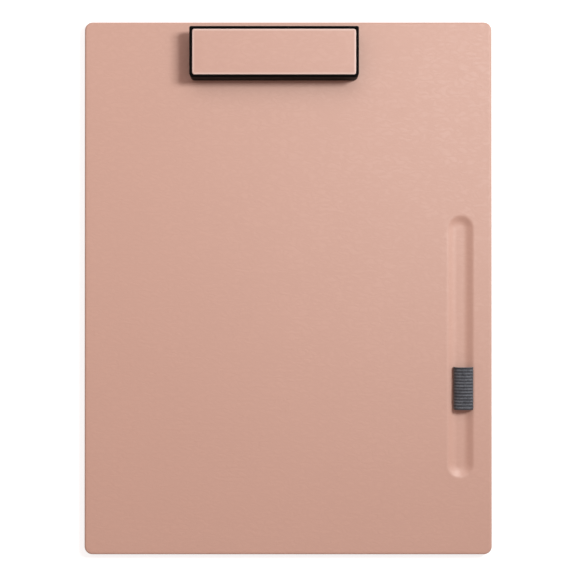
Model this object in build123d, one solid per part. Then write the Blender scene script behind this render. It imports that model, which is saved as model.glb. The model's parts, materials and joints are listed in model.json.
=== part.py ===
from build123d import *
import os
from math import acos, atan2, ceil, cos, degrees, hypot, pi, radians, sin, sqrt

# Clipboard with a faux-leather skin over two board plies, a pressed pen groove with an
# elastic pen loop, and a press-to-open spring clip at its top edge.
# Millimetres. The board lies face up: +X right, +Y towards the clip, +Z up.
# The origin is the middle of the back, on the surface that the board lies on.

# Board
board_width = 241.0
board_length = 315.0
board_corner_radius = 4.7
upper_ply_thickness = 2.0
lower_ply_thickness = 1.6
skin_thickness = 0.8
skin_edge_radius = 1.2
turn_in_width = 12.0
lining_thickness = 0.5
lining_margin = 3.0
lining_ramp_width = 1.5
lining_ramp_clearance = 0.2
lining_ramp_corner_radius = 3.0
lining_smallest_corner = 0.5

# Pen groove, pressed into the skin over a slot in the upper ply
groove_width = 16.4
groove_floor_width = 3.6
groove_floor_radius = 7.0
groove_lip_radius = 2.8
groove_length = 156.0
groove_from_right_edge = 18.6
groove_from_top_edge = 192.0
slot_clearance = 0.1

# Pen loop of elastic webbing
webbing_width = 25.0
webbing_thickness = 1.0
loop_outer_width = 11.5
loop_height = 3.4
loop_crown_radius = 9.5
loop_shoulder_radius = 2.1
loop_tail_length = 6.7
loop_tail_bend_radius = 0.4
loop_from_groove_middle = 1.8
loop_below_groove_middle = 24.7
slit_clearance = 0.1

# Clip lever
clip_from_board_middle = -8.2
clip_width = 98.8
clip_front_arm = 17.1
clip_rear_arm = 12.8
clip_height = 10.3
clip_from_top_edge = 4.9
lever_front_corner_radius = 2.5
lever_rear_corner_radius = 1.0
lever_edge_radius = 0.5
lever_rim_width = 1.5
lever_floor_thickness = 1.2
lever_front_wall = 2.4
lever_side_wall = 1.5
lever_rear_wall = 1.5
lever_foot_gap = 0.5
lever_press_angle = 22.0
lever_press_clearance = 0.4
boss_wall = 1.75
boss_ear_clearance = 0.2

# Leather-covered insert in the lever
insert_plate_thickness = 0.6
insert_skin_thickness = 0.7
insert_edge_radius = 0.5
insert_corner_radius = 1.5
insert_clearance = 0.1
insert_smallest_corner = 0.3

# Grip strip under the jaw
pad_side_wall = 0.5
pad_end_inset = 3.25
pad_seat_depth = 1.0
pad_board_clearance = 0.05
pad_groove_clearance = 0.05

# Base plate, pin and rivets
paper_throat_depth = 5.6
ear_from_lever_side = 5.75
base_plate_rear_inset = 3.8
base_plate_thickness = 1.0
base_plate_corner_radius = 1.5
ear_wall = 1.25
ear_root_width = 9.0
stop_lip_height = 0.8
stop_lip_end_inset = 5.5
pin_radius = 1.25
pin_running_clearance = 0.05
pin_press_interference = 0.02
pin_end_recess = 0.5
pin_chamfer = 0.3
rivet_from_ear = 17.5
rivet_from_plate_front = 5.0
rivet_shank_radius = 2.0
rivet_bore_radius = 1.2
rivet_bore_depth = 4.0
rivet_head_radius = 4.5
rivet_head_recess = 0.1
rivet_roll_radius = 3.2
rivet_roll_height = 0.9
rivet_roll_bulge = 0.2
rivet_roll_rounding = 0.4
rivet_hole_clearance = 0.1

# Torsion springs
spring_wire_radius = 0.45
spring_pitch = 1.45
spring_turns = 5
spring_leg_end_inset = 1.0
spring_pin_clearance = 0.4
spring_ceiling_clearance = 0.25
spring_ear_clearance = 0.15
spring_seat_clearance = 0.02

# How far cuts run past the faces that they open
cut_margin = 1.0

# Heights that follow from the layers
turn_in_bottom = lining_thickness
ply_bottom = turn_in_bottom + skin_thickness
ply_joint = ply_bottom + lower_ply_thickness
ply_top = ply_joint + upper_ply_thickness
board_top = ply_top + skin_thickness
groove_depth = upper_ply_thickness

# Sizes inside the lever
insert_thickness = insert_plate_thickness + insert_skin_thickness
lever_ceiling = clip_height - insert_thickness - lever_floor_thickness
spring_coil_radius = pin_radius + spring_pin_clearance + spring_wire_radius
pivot_drop = spring_coil_radius + spring_wire_radius + spring_ceiling_clearance
pivot_height = lever_ceiling - pivot_drop
ear_top_radius = pin_radius + ear_wall
boss_radius = pin_radius + boss_wall
base_plate_width = clip_width - 2 * ear_from_lever_side
base_plate_front = clip_front_arm - lever_front_wall - paper_throat_depth
base_plate_rear = clip_rear_arm - base_plate_rear_inset
spring_leg_reach = base_plate_rear - spring_leg_end_inset
ear_outer_x = base_plate_width / 2
ear_inner_x = ear_outer_x - base_plate_thickness

# Places that follow from the edges
groove_x = board_width / 2 - groove_from_right_edge
groove_y = board_length / 2 - groove_from_top_edge
loop_x = groove_x + loop_from_groove_middle
loop_y = groove_y - loop_below_groove_middle
pivot_y = board_length / 2 - clip_from_top_edge - clip_rear_arm
clip_place = Location((clip_from_board_middle, pivot_y, board_top))
loop_place = Location((loop_x, loop_y, board_top))
rivet_x = ear_outer_x - rivet_from_ear
rivet_y = pivot_y - base_plate_front + rivet_from_plate_front
rivet_places = [(clip_from_board_middle + side * rivet_x, rivet_y) for side in (-1, 1)]


def block(x_range, y_range, z_range):
    """A box between two values on each axis."""
    sizes = [high - low for low, high in (x_range, y_range, z_range)]
    centre = [(low + high) / 2 for low, high in (x_range, y_range, z_range)]
    return Pos(*centre) * Box(*sizes)


def rounded_slab(width, length, radius, low, high):
    """A rounded rectangle about the board's centre, between two heights."""
    outline = RectangleRounded(width, length, radius)
    return Pos(0, 0, low) * extrude(outline, high - low)


def cut_rivet_holes(solid, low, high):
    """Clearance holes for the clip's rivets, through a solid between two heights."""
    radius = rivet_shank_radius + rivet_hole_clearance
    height = high - low + 2 * cut_margin
    for x, y in rivet_places:
        solid -= Pos(x, y, (low + high) / 2) * Cylinder(radius, height)
    return solid


# Pen groove
def groove_curve(depth_below_skin):
    """The groove wall from floor to lip, offset down: an arc, a straight slope, an arc."""
    wall_width = (groove_width - groove_floor_width) / 2
    both_radii = groove_floor_radius + groove_lip_radius
    centres_apart = hypot(wall_width, both_radii - groove_depth)
    straight = sqrt(centres_apart**2 - both_radii**2)
    slope = atan2(wall_width, both_radii - groove_depth) - atan2(straight, both_radii)
    floor_x = groove_floor_width / 2
    lip_x = groove_width / 2

    def on_floor_arc(angle):
        r = groove_floor_radius + depth_below_skin
        return (floor_x + r * sin(angle), groove_floor_radius - groove_depth - r * cos(angle))

    def on_lip_arc(angle):
        r = groove_lip_radius - depth_below_skin
        return (lip_x - r * sin(angle), r * cos(angle) - groove_lip_radius)

    floor_arc = ThreePointArc(on_floor_arc(0), on_floor_arc(slope / 2), on_floor_arc(slope))
    lip_arc = ThreePointArc(on_lip_arc(slope), on_lip_arc(slope / 2), on_lip_arc(0))
    return floor_arc, Line(floor_arc @ 1, lip_arc @ 0), lip_arc


def groove_pan():
    """The pressed part of the skin: a long dish with sloping walls and round ends."""
    top_wall = groove_curve(0)
    under_wall = groove_curve(skin_thickness)
    middle_top = (0, -groove_depth)
    middle_under = (0, -groove_depth - skin_thickness)
    half = make_face(
        [
            Line(middle_top, top_wall[0] @ 0),
            *top_wall,
            Line(top_wall[-1] @ 1, under_wall[-1] @ 1),
            *under_wall,
            Line(under_wall[0] @ 0, middle_under),
            Line(middle_under, middle_top),
        ]
    )
    half = Plane.XZ * half
    straight = groove_length - groove_width
    side = extrude(half, straight / 2, both=True)
    pan = side + mirror(side, Plane.YZ)
    for end, start_angle in ((1, 0), (-1, 180)):
        face = Rot(0, 0, start_angle) * half
        pan += Pos(0, end * straight / 2, 0) * revolve(face, Axis.Z, 180)
    return Pos(groove_x, groove_y, board_top) * pan


def groove_slot(clearance, low, high):
    """A straight-sided slot round the groove, between two heights."""
    width = groove_width + 2 * clearance
    outline = SlotOverall(groove_length + 2 * clearance, width, rotation=90)
    return Pos(groove_x, groove_y, low) * extrude(outline, high - low)


# Board layers
def front_skin():
    """Faux leather over the front, round the edges and turned in on the back."""
    shell = rounded_slab(
        board_width, board_length, board_corner_radius, turn_in_bottom, board_top
    )
    rims = shell.edges().filter_by(GeomType.LINE).filter_by(Axis.Z, reverse=True)
    rims += shell.edges().filter_by(GeomType.CIRCLE)
    shell = fillet(rims, skin_edge_radius)
    shell -= rounded_slab(
        board_width - 2 * skin_thickness,
        board_length - 2 * skin_thickness,
        board_corner_radius - skin_thickness,
        ply_bottom,
        ply_top,
    )
    window_x = board_width / 2 - turn_in_width
    window_y = board_length / 2 - turn_in_width
    shell -= block(
        (-window_x, window_x), (-window_y, window_y), (0, ply_bottom)
    )
    shell -= groove_slot(0, ply_joint, board_top + cut_margin)
    shell += groove_pan()
    for slit in loop_slits():
        shell -= slit
    return cut_rivet_holes(shell, ply_top, board_top)


def ply(low, high):
    """One board ply's plain outline with its rivet holes."""
    sheet = rounded_slab(
        board_width - 2 * skin_thickness,
        board_length - 2 * skin_thickness,
        board_corner_radius - skin_thickness,
        low,
        high,
    )
    return cut_rivet_holes(sheet, low, high)


def upper_board_ply():
    """The ply with the die-cut slot that the groove sinks into."""
    slot = groove_slot(slot_clearance, ply_joint - cut_margin, ply_top + cut_margin)
    return ply(ply_joint, ply_top) - slot


def lower_board_ply():
    """The ply with two windows for the pen loop's tails."""
    sheet = ply(ply_bottom, ply_joint)
    for window in loop_windows():
        sheet -= window
    return sheet


def back_lining():
    """The lining sheet, which lies over the turn-in and sinks to the ply inside it."""
    outline_width = board_width - 2 * lining_margin
    outline_length = board_length - 2 * lining_margin
    corner = max(board_corner_radius - lining_margin, lining_smallest_corner)
    sheet = rounded_slab(outline_width, outline_length, corner, 0, lining_thickness)

    def ramp_outline(inset, height):
        width, length = board_width - 2 * inset, board_length - 2 * inset
        return Pos(0, 0, height) * RectangleRounded(width, length, lining_ramp_corner_radius)

    def ramp_prism(low):
        wide = turn_in_width + lining_ramp_clearance
        narrow = wide + lining_ramp_width
        outlines = [ramp_outline(wide, low), ramp_outline(narrow, low + skin_thickness)]
        return loft(outlines, ruled=True)

    sheet += ramp_prism(lining_thickness)
    sheet -= ramp_prism(0)
    return cut_rivet_holes(sheet, 0, ply_bottom)


# Pen loop. Its profile is drawn in X and Z about the loop's own middle at the board's top.
tail_top = ply_joint - board_top
tail_bottom = tail_top - webbing_thickness
leg_outer = loop_outer_width / 2
leg_inner = leg_outer - webbing_thickness
tail_end = leg_outer + loop_tail_length


def arch_half(face_offset):
    """Shoulder and crown arcs of one face of the webbing, from leg to middle."""
    crown_radius = loop_crown_radius + face_offset
    shoulder_radius = loop_shoulder_radius + face_offset
    crown_z = loop_height - webbing_thickness / 2 - loop_crown_radius
    shoulder_x = leg_outer - webbing_thickness / 2 - loop_shoulder_radius
    rise = sqrt((loop_crown_radius - loop_shoulder_radius) ** 2 - shoulder_x**2)
    shoulder_z = crown_z + rise
    lean = atan2(rise, shoulder_x)
    meeting = (crown_radius * cos(lean), crown_z + crown_radius * sin(lean))

    def on_shoulder(angle):
        return (
            shoulder_x + shoulder_radius * cos(angle),
            shoulder_z + shoulder_radius * sin(angle),
        )

    half_lean = (lean + radians(90)) / 2
    crown_middle = (crown_radius * cos(half_lean), crown_z + crown_radius * sin(half_lean))
    shoulder = ThreePointArc(on_shoulder(0), on_shoulder(lean / 2), meeting)
    crown = ThreePointArc(meeting, crown_middle, (0, crown_z + crown_radius))
    return shoulder, crown


def pen_loop():
    """One piece of webbing: an arch over the groove with a flat tail each side."""
    outer_shoulder, outer_crown = arch_half(webbing_thickness / 2)
    inner_shoulder, inner_crown = arch_half(-webbing_thickness / 2)
    outer_bend = loop_tail_bend_radius + webbing_thickness
    bend_centre = (leg_outer + loop_tail_bend_radius, tail_top + loop_tail_bend_radius)

    def bend(radius):
        quarter = [
            (bend_centre[0] - radius * cos(a), bend_centre[1] - radius * sin(a))
            for a in (0, radians(45), radians(90))
        ]
        return ThreePointArc(*quarter)

    near, far = bend(loop_tail_bend_radius), bend(outer_bend)
    half = make_face(
        [
            Line(inner_crown @ 1, outer_crown @ 1),
            outer_crown,
            outer_shoulder,
            Line(outer_shoulder @ 0, near @ 0),
            near,
            Line(near @ 1, (tail_end, tail_top)),
            Line((tail_end, tail_top), (tail_end, tail_bottom)),
            Line((tail_end, tail_bottom), far @ 1),
            far,
            Line(far @ 0, inner_shoulder @ 0),
            inner_shoulder,
            inner_crown,
        ]
    )
    side = extrude(Plane.XZ * half, webbing_width / 2, both=True)
    return loop_place * (side + mirror(side, Plane.YZ))


def loop_side_blocks(inner, outer, clearance, low, high):
    """A block on each side of the loop, as wide as the webbing, between two heights."""
    half_width = webbing_width / 2 + clearance
    blocks = []
    for side in (-1, 1):
        ends = sorted((side * (inner - clearance), side * (outer + clearance)))
        blocks.append(loop_place * block(ends, (-half_width, half_width), (low, high)))
    return blocks


def loop_slits():
    """The slits in the skin that the loop's legs pass through."""
    return loop_side_blocks(leg_inner, leg_outer, slit_clearance, tail_top, 0)


def loop_windows():
    """The spaces in the lower ply for the loop's tails."""
    under = ply_bottom - board_top - cut_margin
    return loop_side_blocks(leg_inner, tail_end, slit_clearance, under, tail_top + cut_margin)


def loop_anchor_pads():
    """Stiff pads that fill the windows under the glued tails."""
    return Compound(
        loop_side_blocks(leg_inner, tail_end, 0, ply_bottom - board_top, tail_bottom)
    )


# Clip lever. Drawn about the pivot: Y from the pin, Z from the board's top.
def lever_outline(inset, front_radius, rear_radius):
    """The lever's plan, drawn in by an inset, with its own front and rear corners."""
    width = clip_width - 2 * inset
    front, rear = -clip_front_arm + inset, clip_rear_arm - inset
    outline = Pos(0, (front + rear) / 2) * Rectangle(width, rear - front)
    corners = outline.vertices().group_by(Axis.Y)
    outline = fillet(corners[0], front_radius)
    return fillet(outline.vertices().group_by(Axis.Y)[-1], rear_radius)


def rear_lift():
    """How high the lever's rear edge sits so that it meets the board when pressed."""
    press = radians(lever_press_angle)
    fall = clip_rear_arm * sin(press) + lever_press_clearance - pivot_height
    return pivot_height + fall / cos(press)


def rear_undercut():
    """The wedge under the lever behind the pivot that lets it rock back."""
    past = clip_rear_arm + cut_margin
    slope = (rear_lift() - lever_foot_gap) / clip_rear_arm
    wedge = Polyline(
        (0, -cut_margin),
        (0, lever_foot_gap),
        (past, lever_foot_gap + slope * past),
        (past, -cut_margin),
        close=True,
    )
    return extrude(Plane.YZ * make_face(wedge), clip_width, both=True)


def pin_boss(side):
    """A moulded boss that carries the pin inside one side wall."""
    inner = ear_outer_x + boss_ear_clearance
    outer = clip_width / 2 - lever_side_wall / 2
    middle = side * (inner + outer) / 2
    around = Pos(middle, 0, pivot_height) * Rot(0, 90, 0) * Cylinder(boss_radius, outer - inner)
    ends = sorted((side * inner, side * outer))
    web_top = lever_ceiling + lever_floor_thickness / 2
    web = block(ends, (-boss_radius, boss_radius), (pivot_height, web_top))
    return around + web


def lever_frame():
    """The moulded frame: rim, floor under the insert, skirt walls and pin bosses."""
    plan = lever_outline(0, lever_front_corner_radius, lever_rear_corner_radius)
    frame = Pos(0, 0, lever_foot_gap) * extrude(plan, clip_height - lever_foot_gap)
    frame = fillet(frame.faces().sort_by(Axis.Z)[-1].edges(), lever_edge_radius)
    inner_x = clip_width / 2 - lever_side_wall
    frame -= block(
        (-inner_x, inner_x),
        (-clip_front_arm + lever_front_wall, clip_rear_arm - lever_rear_wall),
        (-cut_margin, lever_ceiling),
    )
    frame -= rear_undercut()
    recess = lever_outline(lever_rim_width, insert_corner_radius, insert_corner_radius)
    recess = extrude(recess, insert_thickness + cut_margin)
    frame -= Pos(0, 0, clip_height - insert_thickness) * recess
    frame += [pin_boss(-1), pin_boss(1)]
    bore = Cylinder(pin_radius - pin_press_interference, clip_width + 2 * cut_margin)
    frame -= Pos(0, 0, pivot_height) * Rot(0, 90, 0) * bore
    frame -= pad_strip(pad_groove_clearance, -cut_margin)
    return clip_place * frame


def insert_outline(inset):
    """The insert's plan inside the recess, drawn in by an inset."""
    corner = max(insert_corner_radius - insert_clearance - inset, insert_smallest_corner)
    return lever_outline(lever_rim_width + insert_clearance + inset, corner, corner)


def insert_plate():
    """The stiff plate under the insert's skin."""
    plate = extrude(insert_outline(insert_skin_thickness), insert_plate_thickness)
    return clip_place * Pos(0, 0, clip_height - insert_thickness) * plate


def insert_skin():
    """Faux leather over the insert plate and down its edges."""
    skin = extrude(insert_outline(0), insert_thickness)
    skin = fillet(skin.faces().sort_by(Axis.Z)[-1].edges(), insert_edge_radius)
    skin = clip_place * Pos(0, 0, clip_height - insert_thickness) * skin
    return skin - insert_plate()


def pad_strip(grow, bottom):
    """The grip strip's space in the jaw, grown by a clearance."""
    half_length = clip_width / 2 - pad_end_inset + grow
    front = -clip_front_arm + pad_side_wall - grow
    rear = -clip_front_arm + lever_front_wall - pad_side_wall + grow
    top = lever_foot_gap + pad_seat_depth + grow
    return block((-half_length, half_length), (front, rear), (bottom, top))


def jaw_pad():
    """The soft strip that grips the paper."""
    return clip_place * pad_strip(0, pad_board_clearance)


def hinge_pin():
    """The pin, pressed into the lever and turning in the base plate's ears."""
    pin = Rot(0, 90, 0) * Cylinder(pin_radius, clip_width - 2 * pin_end_recess)
    pin = chamfer(pin.edges().filter_by(GeomType.CIRCLE), pin_chamfer)
    return clip_place * Pos(0, 0, pivot_height) * pin


# Fixed clip parts
def base_plate_ear(side):
    """One upturned ear with a round top about the pin."""
    ear = Rectangle(2 * ear_top_radius, pivot_height)
    ear = Pos(0, pivot_height / 2) * ear + Pos(0, pivot_height) * Circle(ear_top_radius)
    half_root, half_top = ear_root_width / 2, ear_top_radius
    root = Polyline(
        (-half_root, 0), (half_root, 0), (half_top, pivot_height), (-half_top, pivot_height),
        close=True,
    )
    ear += make_face(root)
    start = min(side * ear_inner_x, side * ear_outer_x)
    return Pos(start, 0, 0) * extrude(Plane.YZ * ear, base_plate_thickness)


def clip_base_plate():
    """The pressed steel plate with its ears and the lip that stops the paper."""
    plan = Pos(0, (base_plate_rear - base_plate_front) / 2) * RectangleRounded(
        base_plate_width, base_plate_front + base_plate_rear, base_plate_corner_radius
    )
    plate = extrude(plan, base_plate_thickness)
    lip_x = base_plate_width / 2 - stop_lip_end_inset
    plate += block(
        (-lip_x, lip_x),
        (-base_plate_front, -base_plate_front + base_plate_thickness),
        (0, base_plate_thickness + stop_lip_height),
    )
    plate += [base_plate_ear(-1), base_plate_ear(1)]
    hole = Cylinder(pin_radius + pin_running_clearance, clip_width)
    plate -= Pos(0, 0, pivot_height) * Rot(0, 90, 0) * hole
    return cut_rivet_holes(clip_place * plate, board_top, board_top + base_plate_thickness)


def clip_rivets():
    """Tubular rivets: flat head on the back of the lining, rolled end on the plate."""
    head_top = ply_bottom - lining_thickness
    head_bottom = rivet_head_recess
    roll_bottom = board_top + base_plate_thickness
    roll_top = roll_bottom + rivet_roll_height
    bore_bottom = roll_top - rivet_bore_depth
    roll_middle = (roll_bottom + roll_top) / 2
    section = make_face(
        [
            Polyline(
                (0, bore_bottom),
                (0, head_bottom),
                (rivet_head_radius, head_bottom),
                (rivet_head_radius, head_top),
                (rivet_shank_radius, head_top),
                (rivet_shank_radius, roll_bottom),
                (rivet_roll_radius, roll_bottom),
            ),
            ThreePointArc(
                (rivet_roll_radius, roll_bottom),
                (rivet_roll_radius + rivet_roll_bulge, roll_middle),
                (rivet_roll_radius - rivet_roll_rounding, roll_top),
            ),
            Polyline(
                (rivet_roll_radius - rivet_roll_rounding, roll_top),
                (rivet_bore_radius + rivet_roll_rounding, roll_top),
                (rivet_bore_radius, roll_middle),
                (rivet_bore_radius, bore_bottom),
                (0, bore_bottom),
            ),
        ]
    )
    rivet = revolve(Plane.XZ * section, Axis.Z, 360)
    return Compound([Pos(x, y, 0) * rivet for x, y in rivet_places])


# Torsion springs
def biarc(start, start_way, end, end_way):
    """Two arcs that join two points and leave along two directions."""
    chord, both = end - start, start_way + end_way
    turn = 2 * (1 - start_way.dot(end_way))
    reach = (sqrt(chord.dot(both) ** 2 + turn * chord.dot(chord)) - chord.dot(both)) / turn
    meeting = (start + end + (start_way - end_way) * reach) * 0.5
    first = Edge.make_tangent_arc(start, start_way, meeting)
    second = Edge.make_tangent_arc(meeting, first % 1, end)
    return [first, second]


def spring_path():
    """The right-hand spring's wire: upper leg, coil about the pin, lower leg."""
    upper_z = lever_ceiling - spring_wire_radius - spring_seat_clearance - pivot_height
    lower_z = base_plate_thickness + spring_wire_radius + spring_seat_clearance - pivot_height
    first_x = ear_inner_x - spring_ear_clearance - spring_wire_radius

    def leaving_angle(z, side):
        away = hypot(spring_leg_reach, z)
        return degrees(atan2(z, spring_leg_reach)) + side * degrees(
            acos(spring_coil_radius / away)
        )

    first_angle = leaving_angle(upper_z, 1)
    last_angle = leaving_angle(lower_z, -1) + 360 * spring_turns
    spans = ceil((last_angle - first_angle) / 180)
    step = (last_angle - first_angle) / spans

    def coil_point(angle):
        along = first_x - spring_pitch * (angle - first_angle) / 360
        a = radians(angle)
        return Vector(along, spring_coil_radius * cos(a), spring_coil_radius * sin(a))

    def coil_way(angle, slope):
        a = radians(angle)
        rate = spring_coil_radius
        return Vector(-slope, -rate * sin(a), rate * cos(a)).normalized()

    slope = spring_pitch / radians(360)
    angles = [first_angle + step * i for i in range(spans + 1)]
    slopes = [0] + [slope] * (spans - 1) + [0]
    points = [coil_point(angle) for angle in angles]
    ways = [coil_way(angle, s) for angle, s in zip(angles, slopes)]
    upper_end = Vector(points[0].X, spring_leg_reach, upper_z)
    lower_end = Vector(points[-1].X, spring_leg_reach, lower_z)
    path = [Edge.make_line(upper_end, points[0])]
    for i in range(spans):
        path += biarc(points[i], ways[i], points[i + 1], ways[i + 1])
    return path + [Edge.make_line(points[-1], lower_end)]


def least_coil_gap(wire):
    """The least gap between turns, from points along the wire."""
    samples = 400
    apart = wire.length / samples
    points = [wire @ (i / samples) for i in range(samples + 1)]
    skip = ceil(pi * spring_coil_radius / apart)
    gaps = [
        (points[i] - points[j]).length - 2 * spring_wire_radius
        for i in range(samples + 1)
        for j in range(i + skip, samples + 1)
    ]
    return min(gaps)


def torsion_spring(side):
    """One spring, right-hand for side 1 and its mirror image for side -1."""
    wire = Wire(spring_path())
    print("torsion spring: least gap between turns", round(least_coil_gap(wire), 3), "mm")
    section = Plane(origin=wire @ 0, z_dir=wire % 0) * Circle(spring_wire_radius)
    spring = sweep(section, wire)
    if side < 0:
        spring = mirror(spring, Plane.YZ)
    return clip_place * Pos(0, 0, pivot_height) * spring


pieces = {
    "front_skin": front_skin(),
    "upper_board_ply": upper_board_ply(),
    "lower_board_ply": lower_board_ply(),
    "back_lining": back_lining(),
    "pen_loop": pen_loop(),
    "loop_anchor_pads": loop_anchor_pads(),
    "clip_base_plate": clip_base_plate(),
    "clip_rivets": clip_rivets(),
    "torsion_spring_left": torsion_spring(-1),
    "torsion_spring_right": torsion_spring(1),
    "lever_frame": lever_frame(),
    "insert_plate": insert_plate(),
    "insert_skin": insert_skin(),
    "jaw_pad": jaw_pad(),
    "hinge_pin": hinge_pin(),
}

os.makedirs("parts", exist_ok=True)
for name, piece in pieces.items():
    export_step(piece, f"parts/{name}.step")
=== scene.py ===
import json
import math
from functools import partial

import bmesh
import bpy
from mathutils import Matrix, Vector, noise


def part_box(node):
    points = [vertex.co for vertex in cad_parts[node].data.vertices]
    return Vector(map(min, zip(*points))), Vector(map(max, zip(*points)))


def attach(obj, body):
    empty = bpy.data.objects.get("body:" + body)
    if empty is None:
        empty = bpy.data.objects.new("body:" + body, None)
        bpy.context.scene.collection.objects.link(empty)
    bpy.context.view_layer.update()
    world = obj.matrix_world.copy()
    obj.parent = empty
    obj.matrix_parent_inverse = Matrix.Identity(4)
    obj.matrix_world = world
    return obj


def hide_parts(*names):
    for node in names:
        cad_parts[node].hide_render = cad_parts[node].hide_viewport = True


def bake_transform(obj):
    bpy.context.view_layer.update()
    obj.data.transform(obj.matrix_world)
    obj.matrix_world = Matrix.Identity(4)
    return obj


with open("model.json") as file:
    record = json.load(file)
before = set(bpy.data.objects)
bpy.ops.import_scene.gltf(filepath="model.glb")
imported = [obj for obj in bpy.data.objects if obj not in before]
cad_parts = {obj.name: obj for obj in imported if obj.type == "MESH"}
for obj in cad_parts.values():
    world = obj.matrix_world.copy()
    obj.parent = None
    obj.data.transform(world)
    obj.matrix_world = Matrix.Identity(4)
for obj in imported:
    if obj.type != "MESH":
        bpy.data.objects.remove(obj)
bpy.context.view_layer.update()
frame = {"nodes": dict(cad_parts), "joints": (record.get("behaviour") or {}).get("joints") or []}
mm = 0.001
print("frame loaded,", len(frame["nodes"]), "nodes")

# Places that every piece shares, read from the frame
skinLow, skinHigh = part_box("front_skin")
leverLow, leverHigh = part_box("lever_frame")
boardTop = skinHigh.z
hinge = Vector(frame["joints"][0]["pos_m"])
pressAngle = math.radians(frame["joints"][0]["range_deg"][1])


# Small tools for meshes

def addObject(name, data):
    made = bpy.data.objects.new(name, data)
    bpy.context.scene.collection.objects.link(made)
    return made


def newMesh(name, points, edges, faces):
    mesh = bpy.data.meshes.new(name)
    mesh.from_pydata([tuple(p) for p in points], edges, faces)
    return mesh


def newPiece(name, points, faces, smoothAngle=40.0):
    mesh = newMesh(name, points, [], faces)
    tidyMesh(mesh, smoothAngle)
    return addObject(name, mesh)


def tidyMesh(mesh, smoothAngle):
    work = bmesh.new()
    work.from_mesh(mesh)
    bmesh.ops.remove_doubles(work, verts=work.verts, dist=0.002 * mm)
    bmesh.ops.dissolve_degenerate(work, edges=work.edges, dist=0.001 * mm)
    bmesh.ops.recalc_face_normals(work, faces=work.faces)
    work.to_mesh(mesh)
    work.free()
    mesh.shade_smooth()
    mesh.set_sharp_from_angle(angle=math.radians(smoothAngle))


def smoothStep(value, low, high):
    t = min(max((value - low) / (high - low), 0.0), 1.0)
    return t * t * (3 - 2 * t)


def spacedLines(low, high, coarse, fineZones):
    # Grid lines with a coarse step, and finer ones inside the zones (start, end, step)
    stops = sorted({low, high, *[stop for zone in fineZones for stop in zone[:2]]})
    stops = [s for s in stops if low <= s <= high]
    lines = [low]
    for start, end in zip(stops, stops[1:]):
        middle = (start + end) / 2
        steps = [z[2] for z in fineZones if z[0] <= middle <= z[1]] or [coarse]
        count = max(1, round((end - start) / min(steps)))
        lines += [start + (end - start) * (i + 1) / count for i in range(count)]
    return lines


def arcProfile(centreOut, centreUp, radius, startDegrees, endDegrees, steps):
    turns = [startDegrees + (endDegrees - startDegrees) * i / steps for i in range(steps + 1)]
    return [
        (centreOut + radius * math.cos(a), centreUp + radius * math.sin(a))
        for a in map(math.radians, turns)
    ]


def borderWalk(xLines, yLines, cornerSteps):
    # The grid's border, anticlockwise: each point with its outward direction
    left, right, low, high = xLines[0], xLines[-1], yLines[0], yLines[-1]
    corners = [(left, low, 180), (right, low, 270), (right, high, 0), (left, high, 90)]
    sides = [
        [(x, low, 0, -1) for x in xLines[1:-1]],
        [(right, y, 1, 0) for y in yLines[1:-1]],
        [(x, high, 0, 1) for x in reversed(xLines[1:-1])],
        [(left, y, -1, 0) for y in reversed(yLines[1:-1])],
    ]
    walk = []
    for (x, y, start), side in zip(corners, sides):
        ways = arcProfile(0.0, 0.0, 1.0, start, start + 90, cornerSteps)
        walk += [(x, y, *way) for way in ways] + side
    return walk


def ringFaces(first, count, rings):
    # Faces between closed loops of equal count, one after another
    faces = []
    for ring in range(rings - 1):
        for i in range(count):
            a, b = first + ring * count + i, first + ring * count + (i + 1) % count
            faces.append((a, b, b + count, a + count))
    return faces


def stackRings(name, rings, smoothAngle=40.0):
    # Joins loops of equal count and closes the first and the last
    points = [p for ring in rings for p in ring]
    count = len(rings[0])
    faces = ringFaces(0, count, len(rings))
    faces += [tuple(reversed(range(count))), tuple(range(len(points) - count, len(points)))]
    return newPiece(name, points, faces, smoothAngle)


def wrappedSheet(name, xLines, yLines, height, toInner, profile, cornerSteps=8):
    # A sheet over a flat top, down its rounded sides and back inside: one closed skin.
    # The profile holds (distance outwards, height) from the outer top's border to the inner's,
    # and a distance below nought lies inside the border, as a turn-in does.
    points, faces = [], []
    for shift in (0.0, toInner):
        first = len(points)
        points += [Vector((x, y, height(x, y) + shift)) for y in yLines for x in xLines]
        wide = len(xLines)
        for j in range(len(yLines) - 1):
            for i in range(wide - 1):
                a = first + j * wide + i
                faces.append((a, a + 1, a + 1 + wide, a + wide))
    walk = borderWalk(xLines, yLines, cornerSteps)
    first = len(points)
    for index, (out, up) in enumerate(profile):
        fold, reach = min(out, 0), max(out, 0)
        for x, y, nx, ny in walk:
            inX = min(max(x, xLines[0] - fold), xLines[-1] + fold)
            inY = min(max(y, yLines[0] - fold), yLines[-1] + fold)
            z = up
            if index in (0, len(profile) - 1):
                z = height(x, y) + (toInner if index else 0.0)
            points.append(Vector((inX + nx * reach, inY + ny * reach, z)))
    faces += ringFaces(first, len(walk), len(profile))
    return newPiece(name, points, faces)


def barPiece(name, start, end, radius, sides, endRadius=None):
    # A round bar, or a cone when its end has another radius
    way = (end - start).normalized()
    across = way.orthogonal().normalized()
    other = way.cross(across)
    turns = [2 * math.pi * k / sides for k in range(sides)]
    return stackRings(name, [
        [centre + (across * math.cos(t) + other * math.sin(t)) * size for t in turns]
        for centre, size in ((start, radius), (end, endRadius or radius))
    ])


def applyModifiers(piece):
    bpy.context.view_layer.update()
    graph = bpy.context.evaluated_depsgraph_get()
    made = bpy.data.meshes.new_from_object(piece.evaluated_get(graph))
    piece.modifiers.clear()
    piece.data = made


socketKinds = {
    int: "Int", float: "Float", tuple: "Vector",
    bpy.types.Material: "Material", type(None): "Geometry",
}


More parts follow.
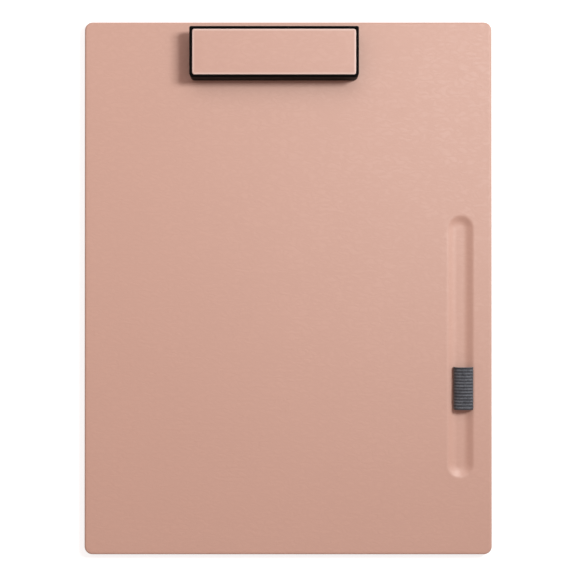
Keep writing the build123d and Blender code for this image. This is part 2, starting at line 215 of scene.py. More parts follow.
def newTree(name, kind, inputs, outputs):
    # A node tree with named inputs and outputs; each socket's kind follows from its value
    tree = bpy.data.node_groups.new(name, kind)
    for way, sockets in (("INPUT", inputs), ("OUTPUT", outputs)):
        for label, value in sockets.items():
            socketKind = "NodeSocket" + socketKinds[type(value)]
            socket = tree.interface.new_socket(label, in_out=way, socket_type=socketKind)
            if value is not None:
                socket.default_value = value
    return tree, tree.nodes.new("NodeGroupInput").outputs, tree.nodes.new("NodeGroupOutput")


def setInputs(tree, node, values):
    # Each input takes a plain value, a socket, a node's first output, or a list of them
    for name, value in values.items():
        for given in value if isinstance(value, list) else [value]:
            if isinstance(given, bpy.types.Node):
                given = given.outputs[0]
            if isinstance(given, bpy.types.NodeSocket):
                tree.links.new(given, node.inputs[name])
            elif given is not None:
                node.inputs[name].default_value = given
    return node


def addNode(tree, kind, values=None, **options):
    node = tree.nodes.new(kind)
    for option, value in options.items():
        setattr(node, option, value)
    return setInputs(tree, node, values or {})


def runTree(name, treeName, makeShape, path, values):
    # Feeds a line of points to a geometry tree and keeps the result as a plain mesh
    inputs = {"Geometry": None, **values}
    tree, given, result = newTree(treeName, "GeometryNodeTree", inputs, {"Geometry": None})
    line = addNode(tree, "GeometryNodeMeshToCurve", {"Mesh": given["Geometry"]})
    real = addNode(tree, "GeometryNodeRealizeInstances", {"Geometry": makeShape(tree, given, line)})
    smooth = addNode(tree, "GeometryNodeSetShadeSmooth", {"Geometry": real})
    paint = {"Geometry": smooth, "Material": given["Finish"]}
    setInputs(tree, result, {"Geometry": addNode(tree, "GeometryNodeSetMaterial", paint)})
    edges = [(i, i + 1) for i in range(len(path) - 1)]
    piece = addObject(name, newMesh(name, path, edges, []))
    modifier = piece.modifiers.new("nodes", "NODES")
    modifier.node_group = tree
    for socket in tree.interface.items_tree:
        if socket.in_out == "INPUT" and socket.name in values:
            modifier[socket.identifier] = values[socket.name]
    applyModifiers(piece)
    bpy.data.node_groups.remove(tree)
    tidyMesh(piece.data, smoothAngle=60.0)
    report(piece)
    return piece


def cutOrJoin(piece, tools, operation):
    for tool in tools:
        change = piece.modifiers.new("change", "BOOLEAN")
        change.operation = operation
        change.solver = "EXACT"
        change.object = tool
        applyModifiers(piece)
        bpy.data.objects.remove(tool)


def markHighlightBorder(piece, low, high, fade):
    # An attribute that fades from 1 at the piece's border in plan to 0 further in: the mask of a
    # painted highlight along the border
    mark = piece.data.attributes.new("edge", "FLOAT", "POINT")
    for point, value in zip(piece.data.vertices, mark.data):
        place = point.co
        inside = min(place.x - low.x, high.x - place.x, place.y - low.y, high.y - place.y)
        value.value = 1 - smoothStep(inside, *fade)


def dress(piece, material):
    piece.data.materials.clear()
    piece.data.materials.append(material)
    report(piece)
    return piece


def report(piece):
    print(piece.name + ":", len(piece.data.polygons), "faces")


# Nodes that shaders and geometry trees share

def mathNode(tree, operation, first, second=None, clamped=False):
    values = {0: first, 1: second}
    return addNode(tree, "ShaderNodeMath", values, operation=operation, use_clamp=clamped)


def vectorNode(tree, operation, first, second):
    return addNode(tree, "ShaderNodeVectorMath", {0: first, 1: second}, operation=operation)


def noiseNode(tree, vector, scale=1.0, detail=2.0, roughness=0.5, distortion=0.0):
    return addNode(tree, "ShaderNodeTexNoise", {
        "Vector": vector, "Scale": scale, "Detail": detail,
        "Roughness": roughness, "Distortion": distortion,
    })


def rangeNode(tree, value, fromLow, fromHigh, toLow=0.0, toHigh=1.0):
    return addNode(tree, "ShaderNodeMapRange", {
        "Value": value, "From Min": fromLow, "From Max": fromHigh,
        "To Min": toLow, "To Max": toHigh,
    })


# Shader groups and materials

def makeLeatherGrain():
    # Pores, short level creases and a slow change of tone, for every faux-leather face
    group, given, result = newTree("leatherGrain", "ShaderNodeTree", {
        "Coordinates": (0.0, 0.0, 0.0),
        "Pore Scale": 1500.0,
        "Crease Stretch": (200.0, 900.0, 900.0),
        "Pore Share": 0.3,
        "Crease Share": 0.7,
    }, {"Height": 0.0, "Tone": 0.0})
    place = given["Coordinates"]
    pores = addNode(group, "ShaderNodeTexVoronoi", {
        "Vector": place, "Scale": given["Pore Scale"], "Smoothness": 0.6,
    }, feature="SMOOTH_F1")
    stretched = vectorNode(group, "MULTIPLY", place, given["Crease Stretch"])
    creases = noiseNode(group, stretched, detail=1.5, roughness=0.4, distortion=0.4)
    ridge = mathNode(group, "ABSOLUTE", mathNode(group, "SUBTRACT", creases, 0.5))
    sharp = rangeNode(group, ridge, fromLow=0.0, fromHigh=0.2)
    patches = rangeNode(group, noiseNode(group, place, scale=60.0), 0.35, 0.65, toLow=0.7)
    creased = mathNode(group, "MULTIPLY", sharp, patches)
    poreHeight = mathNode(group, "MULTIPLY", pores, given["Pore Share"])
    creaseHeight = mathNode(group, "MULTIPLY", creased, given["Crease Share"])
    setInputs(group, result, {
        "Height": mathNode(group, "ADD", poreHeight, creaseHeight),
        "Tone": noiseNode(group, place, scale=28.0, detail=4.0, roughness=0.6),
    })
    return group


def makeFineScuff():
    # Rubbing and dust on hard pieces: a broad smudge mask and fine streaks
    group, given, result = newTree("fineScuff", "ShaderNodeTree", {
        "Coordinates": (0.0, 0.0, 0.0),
        "Streak Stretch": (300.0, 3000.0, 3000.0),
        "Smudge Scale": 90.0,
    }, {"Smudge": 0.0, "Streak": 0.0})
    place = given["Coordinates"]
    setInputs(group, result, {
        "Smudge": noiseNode(group, place, given["Smudge Scale"], detail=4.0, roughness=0.6),
        "Streak": noiseNode(group, vectorNode(group, "MULTIPLY", place, given["Streak Stretch"])),
    })
    return group


leatherGrain = makeLeatherGrain()
fineScuff = makeFineScuff()


def newMaterial(name, look):
    # A Principled material with its plain values set, ready for its own nodes
    material = bpy.data.materials.new(name)
    material.use_nodes = True
    tree = material.node_tree
    shader = setInputs(tree, tree.nodes["Principled BSDF"], {
        "Base Color": (*look["colour"], 1.0),
        "Roughness": look["roughness"],
        "Metallic": look.get("metallic", 0.0),
        "Specular IOR Level": look.get("specular", 0.5),
        "IOR": look.get("refraction", 1.5),
    })
    return material, tree, shader, tree.nodes.new("ShaderNodeTexCoord").outputs["Object"]


def mixColours(tree, mask, first, second):
    # Either colour may be plain or come from another node
    first, second = ((*c, 1.0) if isinstance(c, tuple) else c for c in (first, second))
    values = {"Factor": mask, "A": first, "B": second}
    return addNode(tree, "ShaderNodeMix", values, data_type="RGBA").outputs["Result"]


def bumpNode(tree, height, depth):
    return addNode(tree, "ShaderNodeBump", {"Height": height, "Distance": depth})


def makeLeather(name, look):
    # Faux leather, with painted shade darkening its creases. Where the piece has an "edge"
    # attribute, a painted highlight makes it paler, standing in for light caught on a rolled edge
    material, tree, shader, place = newMaterial(name, look)
    grain = addNode(tree, "ShaderNodeGroup", {
        "Coordinates": place,
        "Pore Scale": 1 / look["poreSize"],
        "Crease Stretch": (1 / look["creaseLength"], *[1 / look["creaseWidth"]] * 2),
        "Pore Share": look["poreShare"],
        "Crease Share": look["creaseShare"],
    }, node_tree=leatherGrain).outputs
    slow = rangeNode(tree, grain["Tone"], 0.3, 0.7, toHigh=look["toneChange"])
    # Painted shade: the creases, where the grain's height is low, get a darker tone
    creaseDarkening = rangeNode(tree, grain["Height"], 0.1, 0.8, toHigh=look["paintedCreaseShade"])
    change = (look["toneChange"] + look["paintedCreaseShade"]) / 2
    tone = mathNode(tree, "DIVIDE", mathNode(tree, "ADD", slow, creaseDarkening), 2 * change)
    dark, light = (tuple(c * f for c in look["colour"]) for f in (1 - change, 1 + change))
    # Painted highlight: paler towards the border of a piece that has an "edge" attribute
    edge = addNode(tree, "ShaderNodeAttribute", attribute_name="edge").outputs["Fac"]
    dull, glossy = look["roughness"] + 0.04, look["roughness"] - 0.03
    tinted = mixColours(tree, tone, dark, light)
    setInputs(tree, shader, {
        "Base Color": mixColours(tree, edge, tinted, look["paintedEdgeHighlight"]),
        "Roughness": rangeNode(tree, grain["Height"], 0.2, 0.8, dull, glossy),
        "Normal": bumpNode(tree, grain["Height"], look["grainDepth"]),
    })
    return material


boardLook = {
    "colour": (0.560, 0.310, 0.235),
    # Painted highlight colour for a piece's border, where its "edge" attribute is set
    "paintedEdgeHighlight": (0.740, 0.520, 0.450),
    "roughness": 0.64,
    "specular": 1.0,
    "refraction": 1.7,
    "poreSize": 0.55 * mm,
    "creaseLength": 5.6 * mm,
    "creaseWidth": 2.8 * mm,
    "poreShare": 0.15,
    "creaseShare": 0.85,
    "toneChange": 0.010,
    # Painted shade in the creases
    "paintedCreaseShade": 0.022,
    "grainDepth": 0.030 * mm,
}
insertLook = {
    **boardLook,
    "colour": (0.556, 0.309, 0.236),
    "poreShare": 0.2,
    "creaseShare": 0.8,
    "grainDepth": 0.028 * mm,
}
liningLook = {
    **boardLook,
    "colour": (0.52, 0.285, 0.22),
    "roughness": 0.70,
    "specular": 0.5,
    "refraction": 1.5,
    "poreSize": 0.8 * mm,
}
boardLeather = makeLeather("boardLeather", boardLook)
insertLeather = makeLeather("insertLeather", insertLook)
liningLeather = makeLeather("liningLeather", liningLook)


def makeHardFinish(name, look):
    # Plastic, metal or board with smudges in its colour and gloss and streaks in its relief
    material, tree, shader, place = newMaterial(name, look)
    scuff = addNode(tree, "ShaderNodeGroup", {
        "Coordinates": place,
        "Streak Stretch": look["streak"],
        "Smudge Scale": look["smudgeScale"],
    }, node_tree=fineScuff).outputs
    worn = rangeNode(tree, scuff["Smudge"], 0.35, 0.7)
    low, high = look["roughness"] - look["glossChange"], look["roughness"] + look["glossChange"]
    setInputs(tree, shader, {
        "Base Color": mixColours(tree, worn, look["colour"], look["worn"]),
        "Roughness": rangeNode(tree, scuff["Smudge"], 0.3, 0.7, low, high),
        "Normal": bumpNode(tree, scuff["Streak"], look["relief"]),
    })
    return material


leverPlastic = makeHardFinish("leverPlastic", {
    "colour": (0.0026, 0.0019, 0.0018), "worn": (0.0040, 0.0031, 0.0029),
    "roughness": 0.46, "glossChange": 0.06, "specular": 0.04,
    "smudgeScale": 110.0, "streak": (2600.0,) * 3, "relief": 0.010 * mm,
})
plateSteel = makeHardFinish("plateSteel", {
    "colour": (0.60, 0.59, 0.57), "worn": (0.52, 0.51, 0.49),
    "roughness": 0.30, "glossChange": 0.08, "metallic": 1.0,
    "smudgeScale": 120.0, "streak": (180.0, 4200.0, 4200.0), "relief": 0.006 * mm,
})
rivetNickel = makeHardFinish("rivetNickel", {
    "colour": (0.68, 0.67, 0.65), "worn": (0.60, 0.59, 0.57),
    "roughness": 0.22, "glossChange": 0.07, "metallic": 1.0,
    "smudgeScale": 400.0, "streak": (1800.0,) * 3, "relief": 0.004 * mm,
})
springSteel = makeHardFinish("springSteel", {
    "colour": (0.42, 0.42, 0.43), "worn": (0.50, 0.49, 0.47),
    "roughness": 0.28, "glossChange": 0.06, "metallic": 1.0,
    "smudgeScale": 300.0, "streak": (900.0, 3000.0, 3000.0), "relief": 0.004 * mm,
})
padRubber = makeHardFinish("padRubber", {
    "colour": (0.014, 0.014, 0.015), "worn": (0.022, 0.022, 0.023),
    "roughness": 0.68, "glossChange": 0.06, "specular": 0.4,
    "smudgeScale": 200.0, "streak": (2400.0,) * 3, "relief": 0.02 * mm,
})
greyBoard = makeHardFinish("greyBoard", {
    "colour": (0.31, 0.275, 0.235), "worn": (0.37, 0.335, 0.29),
    "roughness": 0.85, "glossChange": 0.05, "specular": 0.25,
    "smudgeScale": 350.0, "streak": (500.0, 1400.0, 1400.0), "relief": 0.05 * mm,
})


def makeWebbing():
    # Elastic webbing: paler threads on the ribs' crests, partly wear and partly painted highlight,
    # and a darker ground between them, partly painted shade
    look = {
        "colour": (0.075, 0.077, 0.086),
        # Valley colour, partly painted shade, and crest colour, partly painted highlight
        "groundAndValleyShade": (0.029, 0.031, 0.038),
        "crestWearAndHighlight": (0.143, 0.152, 0.173),
        "roughness": 0.75,
        "specular": 0.3,
        "sheen": 0.15,
        "sheenRoughness": 0.5,
        "threadStretch": (2400.0, 1100.0, 2400.0),
        "threadDepth": 0.04 * mm,
        "threadShare": 0.35,
        "patchScale": 190.0,
        "patchShare": 0.5,
    }
    material, tree, shader, place = newMaterial("loopWebbing", look)
    crest = addNode(tree, "ShaderNodeAttribute", attribute_name="crest").outputs["Fac"]
    threads = noiseNode(tree, vectorNode(tree, "MULTIPLY", place, look["threadStretch"]))
    patches = noiseNode(tree, place, look["patchScale"])
    # Painted highlight on the ribs' crests, partly wear, with painted shade in the valleys between
    # them
    raised = rangeNode(tree, crest, 0.35, 1.0)
    fray = rangeNode(tree, threads, 0.3, 0.7, -look["threadShare"], look["threadShare"])
    fade = rangeNode(tree, patches, 0.35, 0.65, toLow=1 - look["patchShare"])
    faded = mathNode(tree, "MULTIPLY", raised, fade)
    mask = mathNode(tree, "ADD", faded, fray, clamped=True)
    setInputs(tree, shader, {
        "Base Color": mixColours(tree, mask, look["groundAndValleyShade"], look["crestWearAndHighlight"]),
        "Normal": bumpNode(tree, threads, look["threadDepth"]),
        "Sheen Weight": look["sheen"],
        "Sheen Roughness": look["sheenRoughness"],
    })
    return material


loopWebbing = makeWebbing()
print("materials made")


# Board skin: one faux-leather sheet over the front, with the groove pressed into it

groove = {
    "width": 16.4 * mm,
    "floorWidth": 3.6 * mm,
    "floorRadius": 7.0 * mm,
    "lipRadius": 2.8 * mm,
    "length": 156.0 * mm,
    "fromRight": 18.6 * mm,
    "fromTop": 192.0 * mm,
    "depth": 2.0 * mm,
}
groove["x"] = skinHigh.x - groove["fromRight"]
groove["y"] = skinHigh.y - groove["fromTop"]

loop = {
    "width": 25.0 * mm,
    "outerWidth": 11.5 * mm,
    "height": 3.4 * mm,
    "thickness": 1.0 * mm,
    "crownRadius": 9.5 * mm,
    "shoulderRadius": 2.1 * mm,
    "fromGrooveMiddle": 1.8 * mm,
    "belowGrooveMiddle": 24.7 * mm,
    "tailBend": 0.9 * mm,
    "tailDepth": 3.3 * mm,
}
loop["x"] = groove["x"] + loop["fromGrooveMiddle"]
loop["y"] = groove["y"] - loop["belowGrooveMiddle"]
loop["legX"] = (loop["outerWidth"] - loop["thickness"]) / 2

skin = {
    "thickness": 0.8 * mm,
    "turnIn": 12.0 * mm,
    "cornerRadius": 4.7 * mm,
    "edgeRadius": 1.2 * mm,
    "innerRadius": 0.4 * mm,
    "waveDepth": 0.05 * mm,
    "waveScale": 28.0,
    "waveSlice": 0.3,
    "waveFade": 15.0 * mm,
    "slitDip": 0.12 * mm,
    "slitReach": 0.7 * mm,
    "coarseStep": 2.5 * mm,
    "fineStep": 0.6 * mm,
    "fineMargin": 1.0 * mm,
}


def wallSlope():
    # The straight part of the wall touches the floor's arc and the lip's arc
    wall = (groove["width"] - groove["floorWidth"]) / 2
    radii = groove["floorRadius"] + groove["lipRadius"]
    rise = radii - groove["depth"]
    straight = math.sqrt(wall**2 + rise**2 - radii**2)
    return math.atan2(wall, rise) - math.atan2(straight, radii)


groove["slope"] = wallSlope()


def grooveDepthAt(x, y):
    straight = (groove["length"] - groove["width"]) / 2
    alongY = max(abs(y - groove["y"]) - straight, 0.0)
    away = math.hypot(x - groove["x"], alongY)
    wall = (groove["width"] - groove["floorWidth"]) / 2
    fromFloor = away - groove["floorWidth"] / 2
    fromLip = wall - fromFloor
    floorRadius, lipRadius, slope = groove["floorRadius"], groove["lipRadius"], groove["slope"]
    if fromFloor <= 0:
        return groove["depth"]
    if fromLip <= 0:
        return 0.0
    if fromFloor < floorRadius * math.sin(slope):
        return groove["depth"] - floorRadius + math.sqrt(floorRadius**2 - fromFloor**2)
    if fromLip < lipRadius * math.sin(slope):
        return lipRadius - math.sqrt(lipRadius**2 - fromLip**2)
    atLip = lipRadius * math.sin(slope)
    return lipRadius * (1 - math.cos(slope)) + (fromLip - atLip) * math.tan(slope)


def slitDipAt(x, y):
    # The skin draws in a little beside each leg of the pen loop
    sideways = abs(abs(x - loop["x"]) - loop["legX"]) - loop["thickness"] / 2
    endways = abs(y - loop["y"]) - loop["width"] / 2
    away = math.hypot(max(sideways, 0.0), max(endways, 0.0))
    return skin["slitDip"] * (1 - smoothStep(away, 0.0, skin["slitReach"]))


def waveAt(x, y, piece):
    # A slow unevenness between -1 and 1, from the piece's own slice through the noise
    return noise.noise(Vector((x, y, piece["waveSlice"])) * piece["waveScale"])


def skinHeight(x, y):
    inside = min(skinHigh.x - abs(x), skinHigh.y - abs(y)) - skin["cornerRadius"]
    fade = smoothStep(inside, 0.0, skin["waveFade"])
    wave = waveAt(x, y, skin) * skin["waveDepth"]
    uneven = boardTop - skin["waveDepth"] * fade + wave * fade
    return uneven - grooveDepthAt(x, y) - slitDipAt(x, y)


def makeBoardSkin():
    halfX = skinHigh.x - skin["cornerRadius"]
    halfY = skinHigh.y - skin["cornerRadius"]
    fine, margin = skin["fineStep"], skin["fineMargin"]
    reach = groove["width"] / 2 + margin
    endY = groove["length"] / 2 + margin
    endReach = groove["width"] / 2 + 3 * margin
    loopReach = loop["width"] / 2 + 1.5 * margin
    xLines = spacedLines(-halfX, halfX, skin["coarseStep"], [
        (groove["x"] - reach, groove["x"] + reach, fine),
    ])
    yLines = spacedLines(-halfY, halfY, skin["coarseStep"], [
        (groove["y"] + endY - endReach, groove["y"] + endY, fine),
        (groove["y"] - endY, groove["y"] - endY + endReach, fine),
        (loop["y"] - loopReach, loop["y"] + loopReach, fine),
    ])
    top, bottom, corner = boardTop, skinLow.z, skin["cornerRadius"]
    edge, thick, inner = skin["edgeRadius"], skin["thickness"], skin["innerRadius"]
    # Over the edge, turned in on the back, and up again inside
    profile = [(0.0, top), (corner - edge - margin, top)]
    profile += arcProfile(corner - edge, top - edge, edge, 90, 0, 6)
    profile += arcProfile(corner - edge, bottom + edge, edge, 0, -90, 6)
    foldEnd = corner - skin["turnIn"]
    profile += [(0.0, bottom), (foldEnd, bottom), (foldEnd, bottom + thick), (0.0, bottom + thick)]
    insideX = corner - thick - inner
    profile += arcProfile(insideX, bottom + thick + inner, inner, -90, 0, 2)
    profile += arcProfile(insideX, top - thick - inner, inner, 0, 90, 2)
    profile += [(0.0, top - thick)]
    return wrappedSheet("boardSkin", xLines, yLines, skinHeight, -thick, profile)


boardSkin = dress(makeBoardSkin(), boardLeather)


# Back lining: a thin sheet that steps down inside the turned-in edge

lining = {
    "thickness": 0.5 * mm,
    "rampClearance": 0.2 * mm,
    "rampWidth": 1.5 * mm,
    "cornerRadius": 1.7 * mm,
    "edgeRadius": 0.2 * mm,
    "mitreDepth": 0.16 * mm,
    "mitreWidth": 1.6 * mm,
    "mitreStart": (3.5 * mm, 5.0 * mm),
    "mitreEnd": (10.5 * mm, 12.0 * mm),
    "waveDepth": 0.06 * mm,
    "waveScale": 22.0,
    "waveSlice": 1.7,
    "waveStart": (16.0 * mm, 30.0 * mm),
    "rivetSwell": 0.12 * mm,
    "rivetReach": 3.0 * mm,
    "coarseStep": 3.0 * mm,
    "fineStep": 0.5 * mm,
}
rivetLow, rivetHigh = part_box("clip_rivets")
rivetRadius = (rivetHigh.y - rivetLow.y) / 2
rivetColumns = (rivetLow.x + rivetRadius, rivetHigh.x - rivetRadius)
rivetRow = rivetLow.y + rivetRadius


def liningHeight(x, y):
    # Height of the face that shows on the back; the sheet lies above it
    inX, inY = skinHigh.x - abs(x), skinHigh.y - abs(y)
    inside = min(inX, inY)
    start = skin["turnIn"] + lining["rampClearance"]
    height = skin["thickness"] * smoothStep(inside, start, start + lining["rampWidth"])
    fold = 1 - smoothStep(abs(inX - inY), 0.0, lining["mitreWidth"])
    begun = smoothStep(inside, *lining["mitreStart"])
    foldEnds = begun * (1 - smoothStep(inside, *lining["mitreEnd"]))
    height += lining["mitreDepth"] * fold * foldEnds
    middle = smoothStep(inside, *lining["waveStart"])
    height -= lining["waveDepth"] * middle * (0.5 + 0.5 * waveAt(x, y, lining))
    for column in rivetColumns:
        away = math.hypot(x - column, y - rivetRow) - rivetRadius
        if away > 0:
            height -= lining["rivetSwell"] * (1 - smoothStep(away, 0.0, lining["rivetReach"]))
    return height


def makeBackLining():
    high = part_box("back_lining")[1]
    halfX, halfY = high.x - lining["cornerRadius"], high.y - lining["cornerRadius"]
    stepIn = skin["turnIn"] + lining["rampClearance"]

    def linesAcross(half, full):
        start, end, fine = full - stepIn - lining["rampWidth"], full - stepIn, lining["fineStep"]
        zones = [(start, end, fine), (-end, -start, fine)]
        return spacedLines(-half, half, lining["coarseStep"], zones)

    xLines, yLines = linesAcross(halfX, skinHigh.x), linesAcross(halfY, skinHigh.y)
    edge, thick, corner = lining["edgeRadius"], lining["thickness"], lining["cornerRadius"]
    profile = [(0.0, 0.0)]
    profile += arcProfile(corner - edge, edge, edge, -90, 0, 3)
    profile += arcProfile(corner - edge, thick - edge, edge, 0, 90, 3)
    profile += [(0.0, thick)]
    return wrappedSheet("backLining", xLines, yLines, liningHeight, thick, profile, 4)


backLining = dress(makeBackLining(), liningLeather)


# Pen loop: ribbed elastic webbing, laid along its arch from one tail to the other.
# Its settings are the inputs of its tree.

webbing = {
    "Width": loop["width"],
    "Thickness": loop["thickness"],
    "Valley Thickness": 0.62 * mm,
    "Rib Count": 13.68,
    "Rib Start": -0.21,
    "Rib Sharpness": 1.3,
    "Wander": 0.02,
    "Wander Scale": 5.0,
    "Seed": 11,
    "Steps Along": 80,
    "Steps Across": 140,
    "Finish": loopWebbing,
}


def loopLine():
    # Middle line of the webbing from the left tail over the arch to the right one
    legX, top = loop["legX"], boardTop + loop["height"] - loop["thickness"] / 2
    crown, shoulder = loop["crownRadius"], loop["shoulderRadius"]
    crownZ, shoulderX = top - crown, legX - shoulder
    rise = math.sqrt((crown - shoulder) ** 2 - shoulderX**2)
    lean = math.atan2(rise, shoulderX)
    bend, low = loop["tailBend"], boardTop - loop["tailDepth"]
    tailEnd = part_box("pen_loop")[1].x - loop["x"]
    half = [(tailEnd, low)]
    half += arcProfile(legX + bend, low + bend, bend, 270, 180, 5)
    half += arcProfile(shoulderX, crownZ + rise, shoulder, 0, math.degrees(lean), 10)
    half += arcProfile(0.0, crownZ, crown, math.degrees(lean), 90, 8)[1:]
    left = [(-x, z) for x, z in half[:-1]]
    return [Vector((loop["x"] + x, loop["y"], z)) for x, z in left + list(reversed(half))]


def webbingNodes(tree, given, line):
    # A grid laid along the path: ribs run with it, and their height varies across it
    calc = partial(mathNode, tree)

    def store(geometry, label, value):
        values = {"Geometry": geometry, "Name": label, "Value": value}
        return addNode(tree, "GeometryNodeStoreNamedAttribute", values, data_type="FLOAT")

    def stored(label):
        kind = "GeometryNodeInputNamedAttribute"
        return addNode(tree, kind, {"Name": label}, data_type="FLOAT").outputs["Attribute"]

    grid = addNode(tree, "GeometryNodeMeshGrid", {
        "Size X": 1.0, "Size Y": 1.0,
        "Vertices X": given["Steps Along"], "Vertices Y": given["Steps Across"],
    })
    place = addNode(tree, "GeometryNodeInputPosition")
    axes = addNode(tree, "ShaderNodeSeparateXYZ", {0: place}).outputs
    sheet = store(grid, "along", calc("ADD", axes["X"], 0.5))
    sheet = store(sheet, "across", calc("ADD", axes["Y"], 0.5))
    # The sheet gets a second face: the pushed-out copy is the outer one
    pushed = addNode(tree, "GeometryNodeExtrudeMesh", {
        "Mesh": sheet, "Offset Scale": 0.0, "Individual": False,
    }, mode="FACES")
    outer = store(pushed, "outer", pushed.outputs["Top"])
    under = addNode(tree, "GeometryNodeFlipFaces", {"Mesh": sheet})
    both = addNode(tree, "GeometryNodeJoinGeometry", {0: [outer, under]})
    # Ribs across the webbing, a little wandering
    across = stored("across")
    seedShift = calc("MULTIPLY", given["Seed"], 7.3)
    lookup = calc("ADD", calc("MULTIPLY", across, given["Wander Scale"]), seedShift)
    drift = addNode(tree, "ShaderNodeTexNoise", {"W": lookup}, noise_dimensions="1D")
    offset = calc("MULTIPLY", calc("SUBTRACT", drift, 0.5), given["Wander"])
    ribs = calc("MULTIPLY", calc("ADD", across, offset), given["Rib Count"])
    turn = calc("MULTIPLY", calc("ADD", ribs, given["Rib Start"]), math.pi)
    crest = calc("POWER", calc("ABSOLUTE", calc("SINE", turn)), given["Rib Sharpness"])
    ribbed = store(both, "crest", crest)
    extra = calc("SUBTRACT", given["Thickness"], given["Valley Thickness"])
    thick = calc("ADD", calc("MULTIPLY", stored("crest"), extra), given["Valley Thickness"])
    lift = calc("MULTIPLY", thick, calc("SUBTRACT", stored("outer"), 0.5))
    # Each point goes to its place along the path, then sideways and outwards
    onPath = addNode(tree, "GeometryNodeSampleCurve", {
        "Curves": line, "Factor": stored("along"),
    }, mode="FACTOR").outputs
    outward = vectorNode(tree, "CROSS_PRODUCT", onPath["Tangent"], (0.0, 1.0, 0.0))
    raised = addNode(tree, "ShaderNodeVectorMath", {0: outward, "Scale": lift}, operation="SCALE")
    sideways = calc("MULTIPLY", calc("SUBTRACT", across, 0.5), given["Width"])
    shift = addNode(tree, "ShaderNodeCombineXYZ", {"Y": sideways})
    middle = vectorNode(tree, "ADD", onPath["Position"], shift)
    return addNode(tree, "GeometryNodeSetPosition", {
        "Geometry": ribbed, "Position": vectorNode(tree, "ADD", middle, raised),
    })


penLoop = runTree("penLoop", "ribbedWebbing", webbingNodes, loopLine(), webbing)


# Clip lever: black moulded frame with a thin rim, a front jaw and open-backed skirts

lever = {
    "rim": 1.5 * mm,
    "recess": 1.3 * mm,
    "floor": 1.2 * mm,
    "frontWall": 2.4 * mm,
    "sideWall": 1.5 * mm,
    "rearWall": 1.5 * mm,
    "edgeRadius": 0.5 * mm,
    "rimInnerRadius": 0.2 * mm,
    "footRadius": 0.3 * mm,
    "frontCorner": 2.5 * mm,
    "rearCorner": 1.0 * mm,
    "recessCorner": 1.5 * mm,
    "recessEdge": 0.6 * mm,
    "innerCorner": 0.4 * mm,
    "leastFrontCorner": 0.2 * mm,
    "leastRearCorner": 0.1 * mm,
    "pressClearance": 0.4 * mm,
    "bossRadius": 3.0 * mm,
    "bossLength": 4.8 * mm,
    "pinHole": 1.27 * mm,
    "pinLeadIn": 0.25 * mm,
    "drillPast": 1.0 * mm,
    "pinSides": 32,
    "cornerSteps": 8,
    "smoothAngle": 35.0,
}
leverMiddle = (leverLow.x + leverHigh.x) / 2
leverHalf = (leverHigh.x - leverLow.x) / 2
frontY, rearY = leverLow.y, leverHigh.y


def rearLift():
    # The rear skirt's height over the board, so that it just clears it when pressed
    up = hinge.z - boardTop
    fall = (rearY - hinge.y) * math.sin(pressAngle) + lever["pressClearance"] - up
    return up + fall / math.cos(pressAngle)


def footHeight(y):
    foot = leverLow.z
    slope = (boardTop + rearLift() - foot) / (rearY - hinge.y)
    return foot + slope * max(y - hinge.y, 0.0)


def leverRing(inset, front, rear, frontCorner, rearCorner, height):
    # One loop of the lever's plan, drawn in by its own amount on each side
    right = leverHalf - inset
    low, high = frontY + front, rearY - rear
    xStops = [leverHalf * s for s in (-0.9, -0.6, -0.3, 0.0, 0.3, 0.6, 0.9)]
    depth = rearY - frontY
    # Points between the corners, close together at the hinge
    steps = (-0.4 * depth, -0.2 * depth, -mm, 0.0, mm, 0.17 * depth, 0.33 * depth)
    yStops = [hinge.y + step for step in steps]
    corners = [
        (-right + frontCorner, low + frontCorner, frontCorner, 180),
        (right - frontCorner, low + frontCorner, frontCorner, 270),
        (right - rearCorner, high - rearCorner, rearCorner, 0),
        (-right + rearCorner, high - rearCorner, rearCorner, 90),
    ]
    sides = [
        [(x, low) for x in xStops],
        [(right, y) for y in yStops],
        [(x, high) for x in reversed(xStops)],
        [(-right, y) for y in reversed(yStops)],
    ]
    ring = []
    for (x, y, radius, start), side in zip(corners, sides):
        ring += arcProfile(x, y, radius, start, start + 90, lever["cornerSteps"]) + side
    return [Vector((leverMiddle + x, y, height(y))) for x, y in ring]


